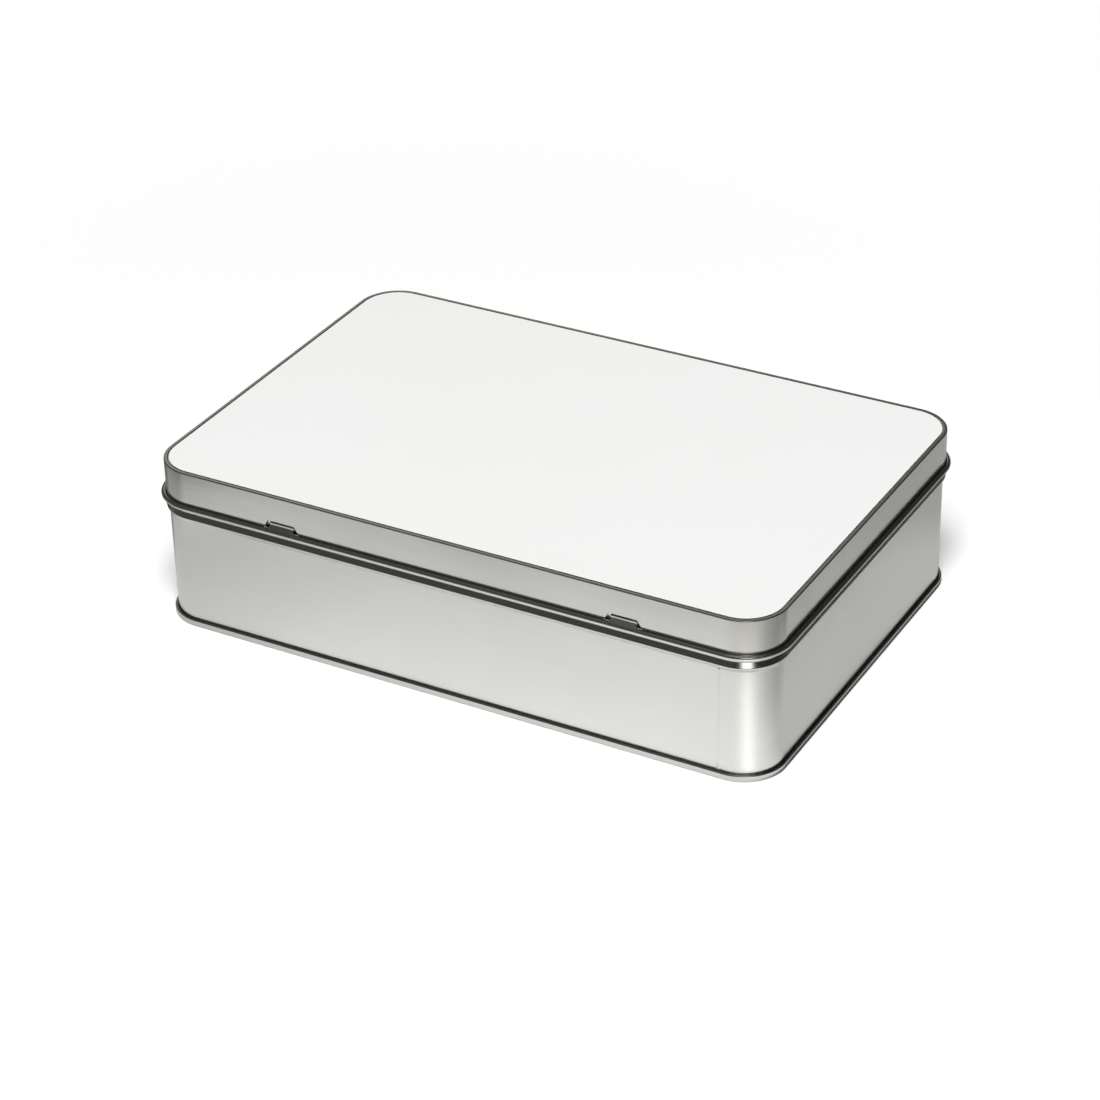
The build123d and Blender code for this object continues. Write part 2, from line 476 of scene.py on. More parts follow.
class Effects:
    """Shader effects that several finishes share."""

    def __init__(self) -> None:
        """Make each effect once."""
        self.rolling = self._rolling_lines()
        self.handling = self._handling_marks()
        self.scuffs = self._scuffs()
        self.inner_face = self._inner_face()

    @staticmethod
    def _rolling_lines() -> NodeTree:
        """Fine parallel lines left by the rolling mill, along X of the coordinates."""
        line_stretch, band_stretch = (0.02, 1.0, 1.0), (0.06, 1.0, 1.0)
        band_scale, line_share = 420.0, 0.55
        g, i, o = effect("rolling_lines", ("Fineness",), ("Height", "Tone"))
        place = i["Coordinates"]
        fine = g.noise(g.scaled(place, line_stretch), i["Fineness"], 4.0, 0.65)
        broad = g.noise(g.scaled(place, band_stretch), band_scale, 2.0)
        g.link(fine, o["Height"])
        g.link(g.total(g.product(fine, line_share), g.product(broad, 1.0 - line_share)), o["Tone"])
        return g.tree

    @staticmethod
    def _handling_marks() -> NodeTree:
        """Cloudy film and soft wipe marks that change how sharply the metal reflects."""
        cloud_scale, wipe_stretch, wipe_scale = 26.0, (18.0, 60.0, 45.0), 1.6
        g, i, o = effect("handling_marks", (), ("Film", "Wipe"))
        place = i["Coordinates"]
        g.link(g.remap(g.noise(place, cloud_scale, 5.0, 0.55), 0.38, 0.68), o["Film"])
        wipe = g.noise(g.scaled(place, wipe_stretch), wipe_scale, 3.0, 0.6)
        g.link(g.remap(wipe, 0.5, 0.75), o["Wipe"])
        return g.tree

    @staticmethod
    def _scuffs() -> NodeTree:
        """Sparse hairline scratches and tiny specks."""
        patch_scale, speck_scale = 34.0, 190.0
        scratch_stretch, scratch_turn = (30.0, 900.0, 900.0), (0.4, 0.9, 0.5)
        g, i, o = effect("scuffs", (), ("Scratch", "Speck"))
        place = i["Coordinates"]
        patches = g.noise(place, patch_scale, 2.0)
        lines = g.noise(g.scaled(place, scratch_stretch, scratch_turn), 1.0, 1.0)
        g.link(g.product(g.remap(lines, 0.69, 0.73), g.remap(patches, 0.56, 0.62)), o["Scratch"])
        dots = g.remap(g.cells(place, speck_scale), 0.035, 0.06, 1.0, 0.0)
        g.link(g.product(dots, g.remap(patches, 0.5, 0.6)), o["Speck"])
        return g.tree

    @staticmethod
    def _inner_face() -> NodeTree:
        """One on the inner side of a pressed sheet with an upright wall, nought on the outer side."""
        g, i, o = effect("inner_face", FACE_LIMITS, ("Mask",))
        xyz = g.split(i["Coordinates"])
        depth = g.minus(i["Corner"], g.beyond(xyz, i["Straight X"], i["Straight Y"]))
        mask = g.product(
            g.math("GREATER_THAN", depth, i["Half Sheet"]),
            g.math("GREATER_THAN", xyz["Z"], i["Low"]),
            g.math("LESS_THAN", xyz["Z"], i["High"]),
        )
        g.link(mask, o["Mask"])
        return g.tree


def new_material(name: str) -> tuple[Graph, Node, bpy.types.bpy_prop_collection]:
    """A material with one Principled surface: its graph, that surface and the coordinates."""
    material = bpy.data.materials.new(name)
    material.use_nodes = True
    tree = material.node_tree
    tree.nodes.clear()
    g = Graph(tree)
    surface = g.node("ShaderNodeBsdfPrincipled")
    g.node("ShaderNodeOutputMaterial", {"Surface": surface.outputs[0]})
    return g, surface, g.node("ShaderNodeTexCoord").outputs


# ---- finishes


@dataclass(frozen=True)
class InnerFace:
    """Where a sheet's inner, clear-lacquered side is: inside an outline and between two heights."""

    outline: Outline
    low: float
    high: float
    half_sheet: float = 0.115 * MM

    def mask(self, g: Graph, effects: Effects, place: NodeSocket) -> NodeSocket:
        """One on the inner side."""
        edge = self.outline
        values = (*edge.straight, edge.corner, self.half_sheet, self.low, self.high)
        limits = dict(zip(FACE_LIMITS, values))
        return g.group(effects.inner_face, {"Coordinates": place, **limits})["Mask"]


@dataclass(frozen=True)
class Tinplate:
    """Satin tinplate with rolling lines, a faint film and soft waviness; duller where lacquered inside."""

    name: str
    grain: Grain
    color: Triple = (0.79, 0.79, 0.778)
    roughness: float = 0.17
    inner: InnerFace | None = None
    dark_share: Triple = (0.86, 0.865, 0.87)
    speck_color: Rgba = (0.42, 0.41, 0.40, 1.0)
    line_fineness: float = 2600.0
    tone_range: Pair = (0.3, 0.7)
    line_tone: float = 0.16
    line_depth: float = 0.004 * MM
    film_tone: float = 0.08
    film_rough: float = 0.05
    wipe_rough: float = 0.012
    line_rough: float = 0.03
    speck_tone: float = 0.35
    scratch_rough: float = 0.03
    scratch_depth: float = 0.01 * MM
    wave_scale: float = 17.0
    wave_height: float = 0.35 * MM
    lacquer_cover: float = 0.45
    lacquer_rough: float = 0.18

    def build(self, effects: Effects) -> Material:
        """Make the material."""
        g, surface, coord = new_material(self.name)
        place = coord["Object"]
        lines = place
        if self.grain is Grain.ROUND_THE_WALL:
            lines = g.node("ShaderNodeUVMap", uv_map="sheet").outputs[0]
        roll = g.group(effects.rolling, {"Coordinates": lines, "Fineness": self.line_fineness})
        hand = g.group(effects.handling, {"Coordinates": place})
        scuff = g.group(effects.scuffs, {"Coordinates": place})

        light = (*self.color, 1.0)
        dark = (*(part * share for part, share in zip(self.color, self.dark_share)), 1.0)
        tone = g.mix(g.remap(roll["Tone"], *self.tone_range, 0.0, self.line_tone), light, dark)
        tone = g.mix(g.product(hand["Film"], self.film_tone), tone, dark)
        tone = g.mix(g.product(scuff["Speck"], self.speck_tone), tone, self.speck_color)

        rough = g.total(
            self.roughness,
            g.product(hand["Film"], self.film_rough),
            g.product(hand["Wipe"], self.wipe_rough),
            g.product(scuff["Scratch"], self.scratch_rough),
            g.remap(roll["Tone"], *self.tone_range, -self.line_rough, self.line_rough),
        )
        metal = 1.0
        if self.inner:
            inside = self.inner.mask(g, effects, place)
            rough = g.total(rough, g.product(inside, self.lacquer_rough))
            metal = g.minus(1.0, g.product(inside, self.lacquer_cover))

        wave = g.bump(g.noise(place, self.wave_scale, 1.0), 1.0, self.wave_height)
        fine = g.bump(roll["Height"], 0.2, self.line_depth, wave)
        nick = g.bump(scuff["Scratch"], 0.08, self.scratch_depth, fine, sunk=True)
        g.wire(surface, {"Base Color": tone, "Metallic": metal, "Roughness": rough, "Normal": nick})
        return bpy.data.materials[self.name]


@dataclass(frozen=True)
class CoatedPlate:
    """Even white coating baked on thin aluminium, which is bare at its cut edge."""

    name: str
    color: Triple = (0.885, 0.885, 0.885)
    warm_share: Triple = (0.992, 0.990, 0.984)
    bare_color: Rgba = (0.52, 0.52, 0.53, 1.0)
    roughness: float = 0.42
    film_rough: float = 0.05
    cloud_scale: float = 9.0
    peel_scale: float = 1500.0
    peel_depth: float = 0.02 * MM
    specular: float = 0.4

    def build(self, effects: Effects) -> Material:
        """Make the material."""
        g, surface, coord = new_material(self.name)
        place = coord["Object"]
        hand = g.group(effects.handling, {"Coordinates": place})
        warm = (*(part * share for part, share in zip(self.color, self.warm_share)), 1.0)
        cloud = g.remap(g.noise(place, self.cloud_scale, 3.0), 0.35, 0.65)
        coat = g.mix(cloud, (*self.color, 1.0), warm)
        bare = g.remap(g.math("ABSOLUTE", g.split(coord["Normal"])["Z"]), 0.35, 0.85, 1.0, 0.0)
        color = g.mix(bare, coat, self.bare_color)
        rough = g.total(self.roughness, g.product(hand["Film"], self.film_rough))
        peel = g.bump(g.noise(place, self.peel_scale, 2.0), 0.12, self.peel_depth)
        g.wire(surface, {"Base Color": color, "Metallic": bare, "Roughness": rough, "Normal": peel})
        g.wire(surface, {"Specular IOR Level": self.specular})
        return bpy.data.materials[self.name]


@dataclass(frozen=True)
class AdhesiveFilm:
    """Milky transfer film with fine trapped bubbles."""

    name: str
    color: Rgba = (0.84, 0.83, 0.77, 1.0)
    bubble_color: Rgba = (0.93, 0.93, 0.90, 1.0)
    bubble_scale: float = 320.0
    bubble_height: float = 0.02 * MM
    roughness: float = 0.55
    bubble_roughness: float = 0.3

    def build(self) -> Material:
        """Make the material."""
        g, surface, coord = new_material(self.name)
        place = coord["Object"]
        bubble = g.remap(g.cells(place, self.bubble_scale), 0.05, 0.2, 1.0, 0.0)
        color = g.mix(bubble, self.color, self.bubble_color)
        rough = g.remap(bubble, 0.0, 1.0, self.roughness, self.bubble_roughness)
        swell = g.bump(bubble, 0.3, self.bubble_height)
        g.wire(surface, {"Base Color": color, "Roughness": rough, "Normal": swell})
        return bpy.data.materials[self.name]


@dataclass(frozen=True)
class PaintedTableLight:
    """Painted light and shade on the table, which every ray but the camera's sees, so the metal mirrors
    it.
    It sets how bright the table looks there, by direction from the near corner and by distance.

    Distances are in metres outside the foot of the tin. Directions go round the near corner,
    from the bright direction towards the short end.
    """

    half: Pair = (0.0865, 0.0530)
    radius: float = 0.0121
    facing: float = radians(125)
    level: float = 0.74
    # Painted glow: a pool of light painted on the table in the bright direction, mirrored as a highlight
    # at the near corner; it fades out at the foot and further off.
    glow_width: float = radians(15)
    glow: Ramp = Ramp(0.045, 0.068, 0.44, 0.0, eased=False)
    glow_foot: Ramp = Ramp(0.002, 0.006)
    # Painted warm tint in the far part of the painted glow.
    warm: Ramp = Ramp(0.05, 0.07, eased=False)
    # Painted shade: the table darker as the bearing turns away from the bright direction.
    turned: Ramp = Ramp(radians(22), radians(82), 1.0, 0.645)
    end_share: Ramp = Ramp(radians(-10), radians(50))
    round_corner: Ramp = Ramp(radians(-12), radians(36))
    flat_end: Ramp = Ramp(radians(84), radians(102))
    rear_near: Ramp = Ramp(0.0, 0.045, 1.10, 1.0)
    rear_middle: Ramp = Ramp(0.045, 0.075, 1.0, 0.82, eased=False)
    rear_far: Ramp = Ramp(0.078, 0.110, 1.0, 0.08)
    rear_beyond: Ramp = Ramp(0.15, 0.26, 0.0, 0.30)
    # Painted contact shade on the table close to the foot, behind the hinge side.
    rear_foot_shade: Ramp = Ramp(0.0034, 0.0046, 0.80, 1.0)
    end_middle: Ramp = Ramp(0.018, 0.040, 1.0, 0.76, eased=False)
    end_far: Ramp = Ramp(0.039, 0.064, 0.0, -0.9)
    end_beyond: Ramp = Ramp(0.13, 0.24, 0.0, 0.3)
    # Painted contact shadow on the table close to the foot at the short end.
    end_foot_shade: Ramp = Ramp(0.0016, 0.0026, 0.15, 1.0)
    corner_far: Ramp = Ramp(0.054, 0.066, 0.0, -0.36)
    along: Ramp = Ramp(-0.06, 0.07, 1.08, 0.93, eased=False)
    past_tin: Ramp = Ramp(0.130, 0.160, 0.0, -0.40)
    past_tin_from: Ramp = Ramp(0.050, 0.070, 0.25, 1.0)
    far_wall: Ramp = Ramp(0.03, 0.12, 0.0, -0.20)
    far_wall_until: Ramp = Ramp(0.045, 0.065, 1.0, 0.0)
    beside: Ramp = Ramp(0.035, 0.052, -0.55, 0.0)
    beside_from: Ramp = Ramp(0.095, 0.110)

    def distance(self, g: Graph, xyz: object) -> NodeSocket:
        """Distance outside the foot of the tin."""
        return g.minus(g.beyond(xyz, *self.half), self.radius)

    def bearing(self, g: Graph, xyz: object) -> NodeSocket:
        """Angle round the near corner, from the bright direction towards the short end."""
        dx = g.minus(xyz["X"], -self.half[0])
        dy = g.minus(xyz["Y"], self.half[1])
        c, s = cos(self.facing), sin(self.facing)
        ahead = g.total(g.product(dx, c), g.product(dy, s))
        aside = g.total(g.product(dx, -s), g.product(dy, c))
        return g.math("ARCTAN2", aside, ahead)

    def _rear(self, g: Graph, away: NodeSocket) -> NodeSocket:
        """Painted light and shade with distance behind the hinge side: lighter near the tin, darker far
        off, with painted contact shade at the foot.
        """
        far = g.total(g.at(away, self.rear_far), g.at(away, self.rear_beyond))
        return g.product(
            g.at(away, self.rear_middle), far, g.at(away, self.rear_near), g.at(away, self.rear_foot_shade)
        )

    def _end(self, g: Graph, away: NodeSocket, angle: NodeSocket, x: NodeSocket) -> NodeSocket:
        """Painted shade with distance at the short end and round the corner before it, with a painted
        contact shadow at the foot.
        """
        outward = g.minus(-self.half[0] - self.radius, x)
        flat = g.at(angle, self.flat_end)
        dark = g.product(flat, g.total(g.at(outward, self.end_far), g.at(outward, self.end_beyond)))
        corner = g.product(g.at(angle, self.round_corner), g.minus(1.0, flat))
        dark = g.total(dark, g.product(corner, g.at(away, self.corner_far)))
        return g.product(g.at(away, self.end_middle), g.total(1.0, dark), g.at(away, self.end_foot_shade))

    def _along(self, g: Graph, away: NodeSocket, xyz: object) -> NodeSocket:
        """Painted change of brightness along the tin."""
        past = g.product(g.at(xyz["X"], self.past_tin), g.at(away, self.past_tin_from))
        wall = g.product(g.at(xyz["X"], self.far_wall), g.at(away, self.far_wall_until))
        beside = g.product(g.at(xyz["Y"], self.beside), g.at(xyz["X"], self.beside_from))
        return g.product(g.at(xyz["X"], self.along), g.total(1.0, past, wall), g.total(1.0, beside))

    def tone(self, g: Graph, place: NodeSocket) -> tuple[NodeSocket, NodeSocket]:
        """Painted tone of the table and its painted warm tint, both for mirrored views."""
        xyz = g.split(place)
        away, angle = self.distance(g, xyz), self.bearing(g, xyz)
        # Painted glow: a lobe round the bright direction, narrower close to the foot.
        spread = g.math("DIVIDE", g.total(away, self.radius), g.total(away, self.radius / 2))
        lobe = g.product(angle, spread, 1.0 / self.glow_width)
        lobe = g.math("EXPONENT", g.product(lobe, lobe, -0.5))
        lift = g.product(lobe, g.at(away, self.glow), g.at(away, self.glow_foot))
        end = self._end(g, away, angle, xyz["X"])
        sides = g.lerp(g.at(angle, self.end_share), self._rear(g, away), end)
        bright = g.total(g.at(angle, self.turned), lift)
        tone = g.product(bright, sides, self._along(g, away, xyz), self.level)
        return tone, g.product(lobe, g.at(away, self.warm))


@dataclass(frozen=True)
class PaleSurface:
    """The plain white table as the camera sees it, with painted light and shade where the metal mirrors
    it, so that the walls read as satin grey.
    """

    name: str
    color: Triple = (0.985, 0.985, 0.985)
    cloud_share: float = 0.997
    cloud_scale: float = 3.0
    # Green and blue shares of the painted tone, with no and with full painted warm tint.
    green: Pair = (1.0, 0.955)
    blue: Pair = (0.975, 0.88)
    far: Ramp = Ramp(0.10, 0.30)
    roughness: float = 0.9
    specular: float = 0.1
    painted_light: PaintedTableLight = PaintedTableLight()

    def build(self) -> Material:
        """Make the material."""
        g, surface, coord = new_material(self.name)
        place = coord["Object"]
        soft = (*(part * self.cloud_share for part in self.color), 1.0)
        seen = g.mix(g.noise(place, self.cloud_scale, 2.0), (*self.color, 1.0), soft)
        # Painted light and shade with its painted warm tint, for every ray but the camera's; the camera
        # sees the plain white table.
        tone, warm = self.painted_light.tone(g, place)
        green = g.product(tone, g.remap(warm, 0.0, 1.0, *self.green))
        blue = g.product(tone, g.remap(warm, 0.0, 1.0, *self.blue))
        grey = g.node("ShaderNodeCombineColor", {0: tone, 1: green, 2: blue}).outputs[0]
        direct = g.ray("Is Camera Ray")
        g.wire(surface, {"Base Color": g.mix(direct, grey, seen), "Roughness": self.roughness})
        g.wire(surface, {"Specular IOR Level": self.specular})
        white = g.node("ShaderNodeEmission", {"Color": WHITE, "Strength": 1.0})
        far = g.product(direct, g.at(self.painted_light.distance(g, g.split(place)), self.far))
        both = g.node("ShaderNodeMixShader", {0: far, 1: surface.outputs[0], 2: white.outputs[0]})
        output = next(node for node in g.tree.nodes if node.type == "OUTPUT_MATERIAL")
        g.link(both.outputs[0], output.inputs["Surface"])
        return bpy.data.materials[self.name]


# ---- the tin


@dataclass(frozen=True)
class TinSizes:
    """Sizes that several pieces share, in metres."""

    length: float = 198.5 * MM
    width: float = 131.4 * MM
    corner: float = 12.75 * MM
    height: float = 51.6 * MM
    sheet: float = 0.23 * MM
    lid_drop: float = 11.2 * MM
    clearance: float = 0.45 * MM
    curl_radius: float = 0.85 * MM
    recess_depth: float = 0.6 * MM
    lug_width: float = 8.0 * MM
    lug_middles: Pair = (-56.1 * MM, 53.6 * MM)
    lug_rise: float = 2.75 * MM
    lug_bend: float = 0.26 * MM
    lug_face: float = 0.35 * MM
    lug_turn: float = 0.3 * MM
    lug_shift: float = -0.2 * MM
    seam_height: float = 2.1 * MM
    seam_gap: float = 0.12 * MM
    corner_steps: int = 28

    @property
    def axis_z(self) -> float:
        """Height of the middle of the lid curl, which the lid turns about."""
        return self.height - self.lid_drop

    @property
    def curl_out(self) -> float:
        """How far the middle of the lid curl is outside the skirt."""
        return self.curl_radius - self.sheet

    @property
    def lid_outline(self) -> Outline:
        """Outside of the lid skirt."""
        return Outline(self.length, self.width, self.corner)

    @property
    def body_inset(self) -> float:
        """Outside of the skirt to the outside of the body wall."""
        return self.sheet + self.clearance

    @property
    def body_outline(self) -> Outline:
        """Outside of the body wall."""
        return self.lid_outline.inset(self.body_inset)

    @property
    def lug_crest(self) -> float:
        """Height of the middle of the bend where a lug doubles over."""
        return self.axis_z + self.lug_rise - self.sheet / 2 - self.lug_bend

    @property
    def lug_places(self) -> Pair:
        """X of the middle of each lug."""
        return tuple(middle + self.lug_shift for middle in self.lug_middles)


@dataclass
class LidShell:
    """Drawn lid: recessed top, raised rim, skirt with hinge windows, outward curl."""

    sizes: TinSizes
    rim_inset: float = 1.5 * MM
    plate_gap: float = 0.15 * MM
    recess_bend: float = 0.32 * MM
    shoulder: float = 0.3 * MM
    curl_end: float = radians(122)
    window_rise: float = 3.25 * MM
    window_corner: float = 0.7 * MM
    window_slant: float = 1.8 * MM
    side_gap: float = 0.45 * MM
    window_foot: float = 0.03 * MM
    window_reach: float = 0.5405 * MM
    panel_edge: float = 0.6 * MM

    def _section(self) -> SheetWalk:
        """Panel edge, up the recess wall, over the rim, down the skirt, round the curl."""
        s = self.sizes
        half = s.sheet / 2
        inset = self.rim_inset - self.plate_gap + self.recess_bend - half
        lead = self.panel_edge
        up = 2 * atan2(sqrt(s.recess_depth), sqrt(4 * self.recess_bend - s.recess_depth))
        across = 2 * self.recess_bend * sin(up)
        walk = SheetWalk((-inset - lead, s.height - s.recess_depth - half), 0.0, s.sheet)
        walk.run(lead).bend(self.recess_bend, up).bend(self.recess_bend, -up)
        walk.run(inset - across - self.shoulder).bend(self.shoulder - half, -pi / 2)
        walk.run(s.lid_drop - self.shoulder, 3).bend(s.curl_radius - half, pi + self.curl_end)
        return walk

    def _cut_windows(self, shell: Object) -> None:
        """Punch the two hinge windows through the rear skirt."""
        s = self.sizes
        half = s.lug_width / 2 + self.side_gap
        foot = half + self.window_slant
        low, high, r = self.window_foot, self.window_rise, self.window_corner
        outline = rounded_points([(-foot, low, 0), (foot, low, 0), (half, high, r), (-half, high, r)])
        for k, x in enumerate(s.lug_middles):
            origin = Vector((x, s.width / 2 - 2 * s.sheet, s.axis_z))
            cut(shell, prism(f"window_{k}", outline, origin, EAST, UP, NORTH * self.window_reach))

    def build(self, finish: Material) -> Object:
        """Build the shell in place of its CAD node."""
        s = self.sizes
        section = self._section().section()
        shell = swept_ring("lid_pressed_shell", section, s.lid_outline, s.corner_steps)
        self._cut_windows(shell)
        dress(shell, finish)
        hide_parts("lid_shell")
        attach(shell, Body.LID.value)
        return shell


@dataclass
class PrintPlate:
    """Blank white plate, flush with the lid's rim."""

    sizes: TinSizes
    inset: float = 1.5 * MM
    thick: float = 0.5 * MM
    edge: float = 0.07 * MM
    face_edge: float = 1.0 * MM

    def build(self, finish: Material) -> Object:
        """Build the plate in place of its CAD node."""
        s = self.sizes
        outline = s.lid_outline.inset(self.inset)
        top, low, e = s.height, s.height - self.thick, self.edge
        section = [(-self.face_edge, top), (-e, top)]
        section += [(-e + e * sin(t), top - e + e * cos(t)) for t in (pi / 8, pi / 4, 3 * pi / 8, pi / 2)]
        section += [(0.0, low + e), (-e, low), (-self.face_edge, low)]
        plate = swept_ring("white_blank_plate", [Vector(p) for p in section], outline, s.corner_steps)
        dress(plate, finish, 50)
        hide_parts("print_plate")
        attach(plate, Body.LID.value)
        return plate


@dataclass
class BodyWall:
    """Tinplate strip with mouth curl, stop bead, seam hook, hinge lugs and side weld."""

    sizes: TinSizes
    bead_half: float = 1.7 * MM
    bead_out: float = 0.85 * MM
    bead_bend: float = 0.35 * MM
    bead_drop: float = 3.83 * MM
    mouth_radius: float = 0.8 * MM
    mouth_gap: float = 0.32 * MM
    lug_gap: float = 0.1 * MM
    lug_tip: float = radians(24)
    notch_gap: float = 0.15 * MM
    notch_root: float = 0.6 * MM
    notch_corner: float = 0.06 * MM
    notch_inner: float = 0.4 * MM
    notch_outer: float = 0.8 * MM
    weld_middle: float = -84.7 * MM
    weld_width: float = 1.1 * MM
    weld_thick: float = 0.07 * MM
    mouth_turn: float = radians(280)
    lug_edge: float = 0.05 * MM

    @property
    def bead_z(self) -> float:
        """Height of the middle of the stop bead."""
        return self.sizes.axis_z - self.bead_drop

    def _section(self) -> SheetWalk:
        """Seam hook, wall, bead, wall, mouth curl."""
        s = self.sizes
        half, fold = s.sheet / 2, s.sheet + s.seam_gap
        low = s.sheet + s.seam_gap + fold + half
        hook = s.seam_height - 2 * s.sheet - 2 * s.seam_gap
        mouth = s.height - s.recess_depth - s.sheet - self.mouth_gap
        bend, across = self.bead_bend, self.bead_out - 2 * self.bead_bend
        flank = sqrt(across**2 + self.bead_half**2 - (2 * bend) ** 2)
        swing = atan2(across, self.bead_half) + atan2(2 * bend, flank)
        walk = SheetWalk((-half + 2 * fold, hook), -pi / 2, s.sheet)
        walk.run(hook - low).bend(fold, -pi).run(self.bead_z - self.bead_half - low, 3)
        walk.bend(bend, -swing).run(flank).bend(bend, 2 * swing).run(flank).bend(bend, -swing)
        walk.run(mouth - self.mouth_radius - self.bead_z - self.bead_half)
        return walk.bend(self.mouth_radius - half, self.mouth_turn)

    def _cut_notches(self, wall: Object) -> None:
        """Free the rear wall above and beside each lug."""
        s = self.sizes
        half, gap, r = s.lug_width / 2, self.notch_gap, self.notch_corner
        turn = s.lug_crest
        low, high = turn - self.notch_root, s.height
        outline = rounded_points(
            [(-half - gap, low, r), (-half, low, r), (-half, turn, 0), (half, turn, 0)]
            + [(half, low, r), (half + gap, low, r), (half + gap, high, 0), (-half - gap, high, 0)],
            5,
        )
        back = s.width / 2 - s.body_inset - 2 * self.mouth_radius - self.notch_inner
        depth = NORTH * (2 * self.mouth_radius + self.notch_inner + self.notch_outer)
        for k, x in enumerate(s.lug_places):
            cut(wall, prism(f"notch_{k}", outline, Vector((x, back, 0)), EAST, UP, depth))

    def _lug(self, x: float) -> Object:
        """One lug: doubled over in the window, down and round the lid curl."""
        s = self.sizes
        half = s.sheet / 2
        wall = -s.body_inset - half
        wrap = s.curl_radius + self.lug_gap + half
        dx = s.curl_out - (wall + 2 * s.lug_bend + s.lug_turn)
        dz = s.axis_z - (s.lug_crest - s.lug_face)
        reach = s.lug_turn + wrap
        run = sqrt(dx**2 + dz**2 - reach**2)
        slope = atan2(dz, dx) + atan2(reach, run)
        walk = SheetWalk((wall, s.lug_crest), pi / 2, s.sheet)
        walk.bend(s.lug_bend, -pi).run(s.lug_face).bend(s.lug_turn, slope + pi / 2)
        walk.run(run, 2).bend(wrap, self.lug_tip - (slope + pi / 2))
        outline = [(p.x, p.y) for p in walk.section()]
        origin = Vector((x - s.lug_width / 2, s.width / 2, 0))
        lug = prism("lug", outline, origin, NORTH, UP, EAST * s.lug_width)
        edge = lug.modifiers.new("edge", "BEVEL")
        edge.width, edge.segments = self.lug_edge, 2
        edge.limit_method, edge.angle_limit = "ANGLE", radians(50)
        apply_modifiers(lug)
        return lug

    def _weld(self, finish: Material) -> Object:
        """The lap of the welded side seam on the rear wall."""
        s = self.sizes
        low, high = s.seam_height + s.seam_gap, self.bead_z - self.bead_half
        half, t, sunk = self.weld_width / 2, self.weld_thick, -0.05 * MM
        outline = [(-half, sunk), (-half, 0.0), (-half + 0.22 * MM, t * 0.85), (-half + 0.4 * MM, t)]
        outline += [(-x, y) for x, y in outline[::-1]]
        origin = Vector((self.weld_middle, s.width / 2 - s.body_inset, low))
        weld = prism("side_weld", outline, origin, EAST, NORTH, UP * (high - low))
        dress(weld, finish, 60)
        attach(weld, Body.BASE.value)
        return weld

    def build(self, finish: Material, weld_finish: Material) -> Object:
        """Build the wall in place of its CAD node, with the weld as its own piece."""
        s = self.sizes
        section = self._section().section()
        wall = swept_ring("body_strip_wall", section, s.body_outline, s.corner_steps, fill=False)
        self._cut_notches(wall)
        for x in s.lug_places:
            merge(wall, self._lug(x))
        dress(wall, finish)
        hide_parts("body_wall")
        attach(wall, Body.BASE.value)
        self._weld(weld_finish)
        return wall


@dataclass
class BottomPanel:
    """Drawn bottom with its double seam round the foot of the body."""

    sizes: TinSizes
    seam_corner: float = 0.36 * MM
    cover_hook: float = 0.65 * MM
    floor_height: float = 3.4 * MM
    floor_bend: float = 0.6 * MM
    floor_edge: float = 0.6 * MM

    def build(self, finish: Material) -> Object:
        """Build the bottom in place of its CAD node."""
        s = self.sizes
        half, layer = s.sheet / 2, s.sheet + s.seam_gap
        inner, outer = -half - layer, -half + 3 * layer
        top = s.seam_height - half - layer
        walk = SheetWalk(
            (inner - self.floor_bend - self.floor_edge, self.floor_height + half), 0.0, s.sheet
        )
        walk.run(self.floor_edge).bend(self.floor_bend, -pi / 2)
        walk.run(self.floor_height - self.floor_bend - self.seam_corner).bend(self.seam_corner, pi / 2)
        walk.run(outer - inner - 2 * self.seam_corner).bend(self.seam_corner, pi / 2)
        walk.run(top - half - self.seam_corner).bend(layer, pi).run(self.cover_hook)
        panel = swept_ring("seamed_bottom", walk.section(), s.body_outline, s.corner_steps)
        dress(panel, finish)
        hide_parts("bottom_panel")
        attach(panel, Body.BASE.value)
        return panel


class Adhesive:
    """The film under the plate, which keeps its CAD shape."""

    def build(self, finish: Material) -> Object:
        """Give the CAD node its finish."""
        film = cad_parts["adhesive_sheet"]
        film.data.materials.clear()
        film.data.materials.append(finish)
        return film


# ---- camera and light


@dataclass(frozen=True)
class Camera:
    """The view from behind the hinge edge, looking down at the tin."""

    place: Triple = (-0.405362, 0.724052, 0.508181)
    turn: Triple = (1.03408636, 0.0188827, -2.63925579)
    lens: float = 106.4545
    sensor: float = 36.0
    clip: Pair = (0.01, 100.0)

    def build(self) -> Object:
        """Add the camera and make it the scene's."""
        data = bpy.data.cameras.new("camera")
        data.lens = self.lens
        data.sensor_width = self.sensor
        data.clip_start, data.clip_end = self.clip
        camera = linked("camera", data)
        camera.location = self.place
        camera.rotation_euler = self.turn
        bpy.context.scene.camera = camera
        return camera


@dataclass(frozen=True)
class Softbox:
    """One large soft lamp aimed at the tin, which the metal doesn't mirror."""

    name: str
    place: Triple
    size: Pair
    power: float
    aim: Triple = (0.0, 0.0, 0.02)

    def build(self) -> Object:
        """Add the lamp."""
        data = bpy.data.lights.new(self.name, "AREA")
        data.shape = "RECTANGLE"
        data.size, data.size_y = self.size
        data.energy = self.power
        lamp = linked(self.name, data)
        lamp.visible_glossy = False
        lamp.location = self.place
        aim = Vector(self.aim) - Vector(self.place)
        lamp.rotation_euler = aim.to_track_quat("-Z", "Y").to_euler()
        return lamp


def heading(bearing: float, rise: float = 0.0) -> Vector:
    """The unit vector towards a compass angle from X and a height above level."""
    return Vector((cos(bearing) * cos(rise), sin(bearing) * cos(rise), sin(rise)))


